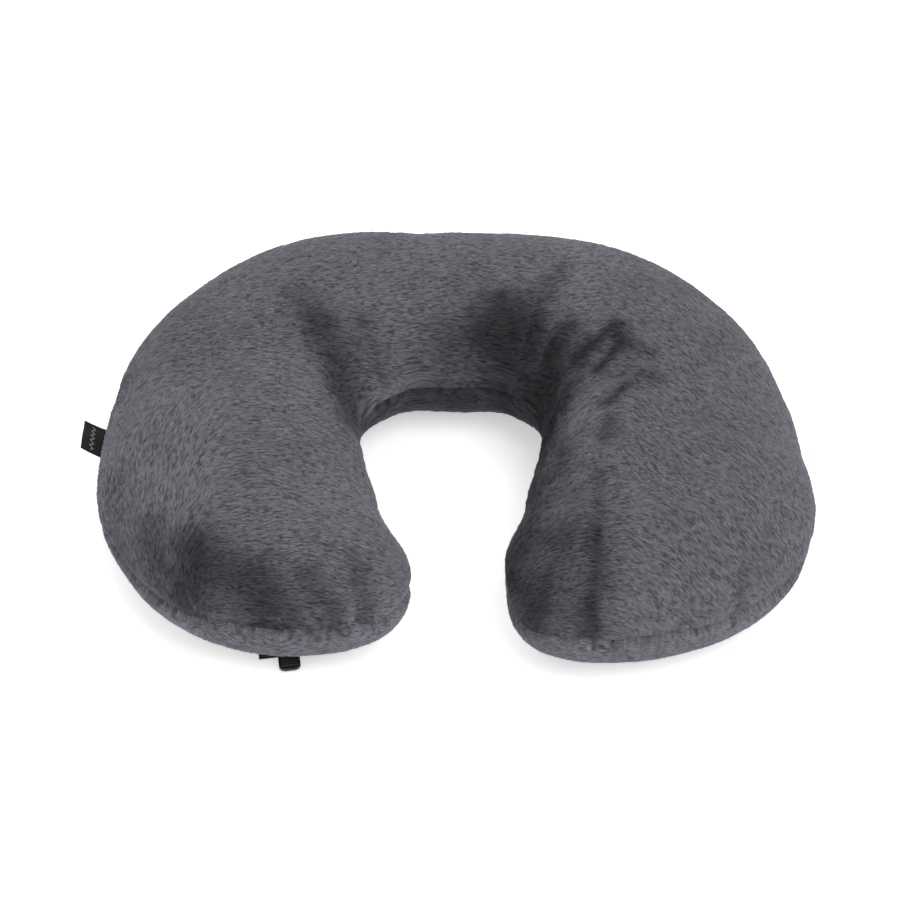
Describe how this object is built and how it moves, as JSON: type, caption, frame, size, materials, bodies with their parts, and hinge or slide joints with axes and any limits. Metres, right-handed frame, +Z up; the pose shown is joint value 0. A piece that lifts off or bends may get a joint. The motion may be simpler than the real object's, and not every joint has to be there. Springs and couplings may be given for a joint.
{
  "type": "u shaped neck pillow",
  "caption": "U shaped travel neck pillow: an inflatable bladder in a zip-off plush cover with a perimeter seam, side tab and underside zip.",
  "frame": {"origin": "on the resting plane, under the centre of the neck opening, on the mirror plane of the two arms", "axes": "+Z up out of the resting plane, +Y from the neck towards the nape, +X towards the arm without the zip; the arms point along -Y"},
  "size_m": [0.4119, 0.3154, 0.0955],
  "materials": {
    "plush": "short brushed velour pile, dark grey, with a visible nap",
    "thread": "matte polyester sewing thread",
    "label_weave": "black damask weave, folded, with a plain zigzag woven along it",
    "zip_tape": "black herringbone tape",
    "zip_nylon": "satin black nylon",
    "zip_metal": "satin black enamel with worn edges",
    "pull_rubber": "matte moulded rubber with cross ribs",
    "bladder_film": "grey soft film with a low sheen",
    "valve_plastic": "pale grey moulded plastic",
    "silicone": "translucent white silicone"
  },
  "bodies": {
    "pillow": {"cover_upper_panel": "plush", "cover_lower_panel": "plush", "perimeter_seam_thread": "thread", "side_label": "label_weave", "zip_tape_left": "zip_tape", "zip_tape_right": "zip_tape", "zip_coil_left": "zip_nylon", "zip_coil_right": "zip_nylon", "zip_topstitching": "thread", "zip_bar_tacks": "thread", "zip_top_stops": "zip_metal", "zip_bottom_stop": "zip_metal", "bladder_upper_sheet": "bladder_film", "bladder_lower_sheet": "bladder_film", "valve_weld_flange": "valve_plastic", "valve_body": "valve_plastic"},
    "zip_slider": {"zip_slider_body": "zip_metal"},
    "zip_link": {"zip_pull_link": "zip_metal"},
    "zip_tab": {"zip_pull_tab": "pull_rubber"},
    "valve_flap": {"valve_check_flap": "silicone"},
    "valve_lid": {"valve_cap": "valve_plastic", "valve_cap_seal": "silicone"}
  },
  "joints": [
    {"name": "zip_slide", "type": "slide", "parent": "pillow", "child": "zip_slider", "axis": [-0.1736, 0.9848, 0], "range_m": [0, 0.115]},
    {"name": "zip_link_swing", "type": "hinge", "parent": "zip_slider", "child": "zip_link", "pos_m": [-0.09094, -0.10936, 0.0026], "axis": [0.9848, 0.1736, 0], "range_deg": [0, 120]},
    {"name": "zip_tab_swing", "type": "hinge", "parent": "zip_link", "child": "zip_tab", "pos_m": [-0.08972, -0.11625, 0.0026], "axis": [0.9848, 0.1736, 0], "range_deg": [0, 60]},
    {"name": "valve_flap_lift", "type": "slide", "parent": "pillow", "child": "valve_flap", "axis": [0, 0, 1], "range_m": [0, 0.0015], "stiffness_N_per_m": 40},
    {"name": "valve_cap_turn", "type": "hinge", "parent": "pillow", "child": "valve_lid", "pos_m": [-0.10102, -0.05214, 0.0142], "axis": [0, 0, 1], "range_deg": [0, 90]}
  ]
}
